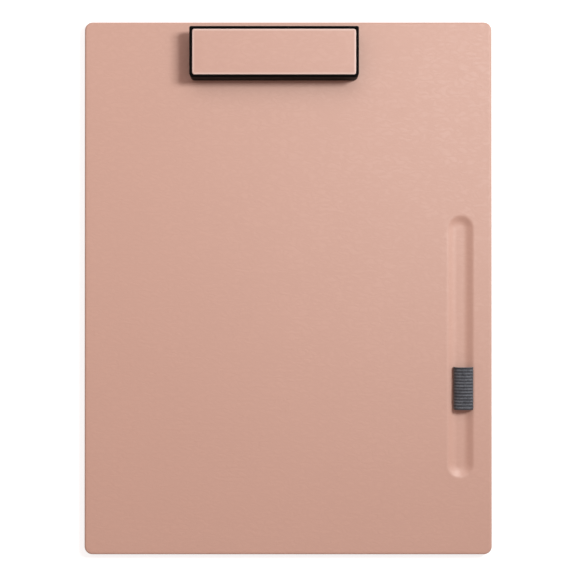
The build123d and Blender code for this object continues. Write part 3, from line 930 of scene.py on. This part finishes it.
def makeLeverFrame():
    top = leverHigh.z
    rim, recess = lever["rim"], lever["recess"]
    ceiling = top - recess - lever["floor"]
    walls = (lever["sideWall"], lever["frontWall"], lever["rearWall"])

    def even(inset, height):
        frontCorner = max(lever["frontCorner"] - inset, lever["leastFrontCorner"])
        rearCorner = max(lever["rearCorner"] - inset, lever["leastRearCorner"])
        return leverRing(inset, inset, inset, frontCorner, rearCorner, height)

    def recessRing(inset, height):
        corner = lever["recessCorner"] + rim - inset
        return leverRing(inset, inset, inset, corner, corner, height)

    def inner(inset, height):
        side, front, rear = (w + inset for w in walls)
        return leverRing(side, front, rear, lever["innerCorner"], lever["innerCorner"], height)

    rings = [recessRing(rim, lambda y, d=drop: top - d) for drop in (recess, lever["recessEdge"])]
    rimInner = lever["rimInnerRadius"]
    for out, up in arcProfile(0.0, 0.0, rimInner, 180, 90, 3):
        inset, drop = rim - rimInner - out, rimInner - up
        rings.append(recessRing(inset, lambda y, d=drop: top - d))
    for out, up in arcProfile(0.0, 0.0, lever["edgeRadius"], 90, 0, 5):
        inset, drop = lever["edgeRadius"] - out, lever["edgeRadius"] - up
        rings.append(even(inset, lambda y, d=drop: top - d))
    foot = lever["footRadius"]
    for out, up in arcProfile(0.0, 0.0, foot, 0, -90, 3):
        rings.append(even(foot - out, lambda y, u=up: footHeight(y) + foot + u))
    for out, up in arcProfile(0.0, 0.0, foot, -90, -180, 3):
        rings.append(inner(-foot - out, lambda y, u=up: footHeight(y) + foot + u))
    for out, up in arcProfile(0.0, 0.0, foot, 180, 90, 3):
        rings.append(inner(foot + out, lambda y, u=up: ceiling - foot + u))
    piece = stackRings("leverFrame", rings, lever["smoothAngle"])
    bosses, holes = [], []
    pinHole, leadIn, sides = lever["pinHole"], lever["pinLeadIn"], lever["pinSides"]
    for side in (-1, 1):
        face = leverMiddle + side * leverHalf
        outer = Vector((face - side * lever["sideWall"] / 2, hinge.y, hinge.z))
        inside = outer - Vector((side * lever["bossLength"], 0, 0))
        bosses.append(barPiece("boss", inside, outer, lever["bossRadius"], sides))
        past = Vector((side * lever["drillPast"], 0, 0))
        holes.append(barPiece("hole", inside - past, outer + past * 2, pinHole, sides))
        mouth, deep = Vector((face, hinge.y, hinge.z)), Vector((side * leadIn, 0, 0))
        wide = pinHole + 2 * leadIn
        holes.append(barPiece("mouth", mouth - deep, mouth + deep, pinHole, sides, wide))
    cutOrJoin(piece, bosses, "UNION")
    cutOrJoin(piece, holes, "DIFFERENCE")
    piece.data.shade_smooth()
    piece.data.set_sharp_from_angle(angle=math.radians(lever["smoothAngle"]))
    return piece


leverFrame = dress(makeLeverFrame(), leverPlastic)


# Insert: the same leather over a stiff plate, a little crowned, with rolled edges and a painted
# highlight along its border

insert = {
    "thickness": 0.7 * mm,
    "cornerRadius": 1.4 * mm,
    "edgeRadius": 0.5 * mm,
    # Where the painted highlight along the insert's border fades out
    "highlightBorder": (0.4 * mm, 1.2 * mm),
    "crown": 0.12 * mm,
    "crownReach": 5.0 * mm,
    "waveDepth": 0.02 * mm,
    "waveScale": 60.0,
    "waveSlice": 4.1,
    "step": 1.5 * mm,
}


def makeInsertSkin():
    low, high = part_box("insert_skin")
    corner, edge = insert["cornerRadius"], insert["edgeRadius"]
    thick, middle = insert["thickness"], (low + high) / 2
    xLines = spacedLines(low.x + corner, high.x - corner, insert["step"], [])
    yLines = spacedLines(low.y + corner, high.y - corner, insert["step"], [])

    def topHeight(x, y):
        inX = min(high.x - corner - x, x - low.x - corner)
        inY = min(high.y - corner - y, y - low.y - corner)
        rise = smoothStep(min(inX, inY), 0.0, insert["crownReach"])
        wave = waveAt(x, y, insert) * insert["waveDepth"]
        return high.z - insert["crown"] * (1 - rise) - insert["waveDepth"] + wave * rise

    top = topHeight(low.x + corner, middle.y)
    inside = corner - thick
    profile = [(0.0, top)]
    profile += arcProfile(corner - edge, top - edge, edge, 90, 0, 5)
    profile += [(corner, low.z), (inside, low.z), (inside, top - thick), (0.0, top - thick)]
    return wrappedSheet("insertSkin", xLines, yLines, topHeight, -thick, profile, 6)


insertSkin = dress(makeInsertSkin(), insertLeather)
# Painted highlight along the insert's border, fading from its edges inwards
markHighlightBorder(insertSkin, *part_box("insert_skin"), insert["highlightBorder"])


# Jaw pad: a soft strip with small teeth across its gripping face, set in the same way

jaw = {
    "Edge Radius": 0.2 * mm,
    "Tooth Pitch": 1.6 * mm,
    "Tooth Width": 0.9 * mm,
    "Tooth Height": 0.35 * mm,
    "Finish": padRubber,
}


def sweepNode(tree, line, section):
    return addNode(tree, "GeometryNodeCurveToMesh", {
        "Curve": line, "Profile Curve": section, "Fill Caps": True,
    })


def jawNodes(tree, given, line):
    # A rounded strip along the path with half-sunk bars repeated under it
    section = addNode(tree, "GeometryNodeCurvePrimitiveQuadrilateral", {
        "Width": given["Width"], "Height": given["Height"],
    })
    rounded = addNode(tree, "GeometryNodeFilletCurve", {
        "Curve": section, "Count": 4, "Radius": given["Edge Radius"],
    }, mode="POLY")
    places = addNode(tree, "GeometryNodeCurveToPoints", {
        "Curve": line, "Length": given["Tooth Pitch"],
    }, mode="LENGTH")
    bar = addNode(tree, "GeometryNodeMeshCylinder", {"Vertices": 12, "Radius": 0.5, "Depth": 1.0})
    size = addNode(tree, "ShaderNodeCombineXYZ", {
        "X": given["Tooth Width"],
        "Y": mathNode(tree, "MULTIPLY", given["Tooth Height"], 2.0),
        "Z": mathNode(tree, "SUBTRACT", given["Width"], given["Edge Radius"]),
    })
    scaledBar = addNode(tree, "GeometryNodeTransform", {"Geometry": bar, "Scale": size})
    halfDown = mathNode(tree, "MULTIPLY", given["Height"], -0.5)
    turned = addNode(tree, "GeometryNodeTransform", {
        "Geometry": scaledBar,
        "Rotation": (math.pi / 2, 0.0, 0.0),
        "Translation": addNode(tree, "ShaderNodeCombineXYZ", {"Z": halfDown}),
    })
    teeth = addNode(tree, "GeometryNodeInstanceOnPoints", {"Points": places, "Instance": turned})
    strip = sweepNode(tree, line, rounded)
    return addNode(tree, "GeometryNodeJoinGeometry", {0: [strip, teeth]})


def makeJawPad():
    low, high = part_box("jaw_pad")
    middleY = (low.y + high.y) / 2
    stripLow = low.z + jaw["Tooth Height"]
    middleZ = (stripLow + high.z) / 2
    path = [Vector((x, middleY, middleZ)) for x in (low.x, high.x)]
    sizes = {"Width": high.y - low.y, "Height": high.z - stripLow, **jaw}
    return runTree("jawPad", "toothedStrip", jawNodes, path, sizes)


jawPad = makeJawPad()


# Torsion springs about the pin: upper leg under the lever, lower leg on the base plate

spring = {
    "wireRadius": 0.45 * mm,
    "coilRadius": 2.1 * mm,
    "pitch": 1.45 * mm,
    "turns": 5,
    "legReach": 8.0 * mm,
    "upperLeg": 2.33 * mm,
    "lowerLeg": -3.53 * mm,
    "sides": 12,
    "coilSteps": 120,
    "legSteps": 8,
}


def wireNodes(tree, given, line):
    section = addNode(tree, "GeometryNodeCurvePrimitiveCircle", {
        "Resolution": given["Sides"], "Radius": given["Radius"],
    })
    return sweepNode(tree, line, section)


def springPath(side):
    # From the upper leg's end round the coil to the lower leg's end
    low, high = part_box("torsion_spring_right" if side > 0 else "torsion_spring_left")
    firstX = high.x - spring["wireRadius"] if side > 0 else low.x + spring["wireRadius"]
    radius, reach = spring["coilRadius"], spring["legReach"]

    def leavingAngle(up, way):
        away = math.hypot(reach, up)
        return math.atan2(up, reach) + way * math.acos(radius / away)

    def pointAt(x, out, up):
        return Vector((x, hinge.y + out, hinge.z + up))

    start = leavingAngle(spring["upperLeg"], 1)
    end = leavingAngle(spring["lowerLeg"], -1) + 2 * math.pi * spring["turns"]
    steps, legSteps = spring["coilSteps"], spring["legSteps"]
    coil = []
    for i in range(steps + 1):
        turn = start + (end - start) * i / steps
        along = firstX - side * spring["pitch"] * (turn - start) / (2 * math.pi)
        coil.append(pointAt(along, radius * math.cos(turn), radius * math.sin(turn)))
    upperEnd = pointAt(coil[0].x, reach, spring["upperLeg"])
    lowerEnd = pointAt(coil[-1].x, reach, spring["lowerLeg"])
    upperLeg = [upperEnd.lerp(coil[0], i / legSteps) for i in range(legSteps)]
    lowerLeg = [coil[-1].lerp(lowerEnd, i / legSteps) for i in range(1, legSteps + 1)]
    return upperLeg + coil + lowerLeg


def makeSpring(name, side):
    wire = {"Radius": spring["wireRadius"], "Sides": spring["sides"], "Finish": springSteel}
    return runTree(name, "roundWire", wireNodes, springPath(side), wire)


springs = {
    "torsion_spring_left": makeSpring("springLeft", -1),
    "torsion_spring_right": makeSpring("springRight", 1),
}


# CAD pieces that keep their own shape

cadFinish = {
    "upper_board_ply": greyBoard,
    "lower_board_ply": greyBoard,
    "loop_anchor_pads": greyBoard,
    "insert_plate": greyBoard,
    "clip_base_plate": plateSteel,
    "hinge_pin": plateSteel,
    "clip_rivets": rivetNickel,
}
for node, material in cadFinish.items():
    dress(frame["nodes"][node], material)


# Every made piece: the body it rides on, the node it stands for and its slot

riders = [
    (boardSkin, "board", "front_skin", "board_skin"),
    (backLining, "board", "back_lining", "back_lining"),
    (penLoop, "board", "pen_loop", "loop_webbing"),
    (leverFrame, "clip_lever", "lever_frame", "lever_plastic"),
    (insertSkin, "clip_lever", "insert_skin", "insert_skin"),
    (jawPad, "clip_lever", "jaw_pad", "jaw_rubber"),
]
for piece, body, node, slot in riders:
    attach(piece, body)
    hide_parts(node)
for node, piece in springs.items():
    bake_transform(piece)
    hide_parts(node)
print("pieces placed")


# Cloth: the pen loop's middle line is worked out again here, and nothing is done with it


def declareSheets():
    path = loopLine()


declareSheets()


# Floor, lamps and camera

studio = {
    "floorSize": 6.0,
    "floorDrop": 0.02 * mm,
    "floorColour": (0.42, 0.42, 0.42),
    "floorLift": 0.78,
    "worldLevel": 0.40,
    "worldColour": (1.0, 0.75, 0.685),
    "keyPlace": (0.430, 0.263, 0.546),
    "keyAim": (-0.424, 0.188, 0.0),
    "keySize": (0.272, 0.185),
    "keyStrength": 9.70,
    "keyColour": (0.92, 0.99, 1.0),
    "topPlace": (-0.10, 0.75, 0.70),
    "topAim": (-0.05, 0.05, 0.0),
    "topSize": (1.2, 0.5),
    "topPower": 1.9,
    "cameraPlace": (-0.99 * mm, -1.14 * mm, 0.600),
    "cameraLean": 0.20,
    "lens": 63.745,
}


def rayMask(tree, *kinds):
    # 1 for these kinds of ray and 0 for the rest
    seen = tree.nodes.new("ShaderNodeLightPath").outputs
    mask = seen[kinds[0]]
    for kind in kinds[1:]:
        mask = mathNode(tree, "MAXIMUM", mask, seen[kind])
    return mask


def makeFloor():
    half, z = studio["floorSize"] / 2, -studio["floorDrop"]
    corners = [(-half, -half, z), (half, -half, z), (half, half, z), (-half, half, z)]
    floor = newPiece("floor", corners, [(0, 1, 2, 3)])
    if floor.data.polygons[0].normal.z < 0:
        floor.data.flip_normals()
    look = {"colour": studio["floorColour"], "roughness": 0.9, "specular": 0.1}
    material, tree, shader = newMaterial("paleFloor", look)[:3]
    # A little light of its own to the camera lifts the floor to white and keeps the shadow
    seen = rayMask(tree, "Is Camera Ray", "Is Glossy Ray", "Is Transmission Ray")
    setInputs(tree, shader, {
        "Emission Color": (1, 1, 1, 1),
        "Emission Strength": mathNode(tree, "MULTIPLY", seen, studio["floorLift"]),
    })
    dress(floor, material)


def makeWorld():
    # White where the camera sees it, a warm even light on the object
    world = bpy.data.worlds.new("studioWorld")
    world.use_nodes = True
    tree = world.node_tree
    seen = rayMask(tree, "Is Camera Ray", "Is Transmission Ray")
    setInputs(tree, tree.nodes["Background"], {
        "Strength": rangeNode(tree, seen, 0.0, 1.0, toLow=studio["worldLevel"]),
        "Color": mixColours(tree, seen, studio["worldColour"], (1.0, 1.0, 1.0)),
    })
    bpy.context.scene.world = world


def hangLamp(name, place, aim, size):
    # An area lamp whose long side stays level
    lamp = bpy.data.lights.new(name, "AREA")
    lamp.shape = "RECTANGLE"
    lamp.size, lamp.size_y = size
    holder = addObject(name, lamp)
    back = (Vector(place) - Vector(aim)).normalized()
    right = (Vector((1, 0, 0)) - back * back.x).normalized()
    turned = Matrix((right, back.cross(right), back)).transposed()
    holder.matrix_world = Matrix.Translation(place) @ turned.to_4x4()
    holder.visible_camera = False
    return lamp


def makeLamps():
    # A softbox whose light doesn't fade with distance, and a broad one above
    key = hangLamp("keyLamp", studio["keyPlace"], studio["keyAim"], studio["keySize"])
    key.energy = 1.0
    key.color = studio["keyColour"]
    key.use_nodes = True
    tree = key.node_tree
    fading = addNode(tree, "ShaderNodeLightFalloff", {"Strength": studio["keyStrength"]})
    setInputs(tree, tree.nodes["Emission"], {"Strength": fading.outputs["Constant"]})
    top = hangLamp("topLamp", studio["topPlace"], studio["topAim"], studio["topSize"])
    top.energy = studio["topPower"]


def makeCamera():
    lens = bpy.data.cameras.new("camera")
    lens.lens = studio["lens"]
    holder = addObject("camera", lens)
    x, y, overBoard = studio["cameraPlace"]
    holder.location = (x, y, boardTop + overBoard)
    holder.rotation_euler = (math.radians(studio["cameraLean"]), 0, 0)
    bpy.context.scene.camera = holder


makeFloor()
makeWorld()
makeLamps()
makeCamera()
bpy.context.scene.view_settings.view_transform = "Standard"
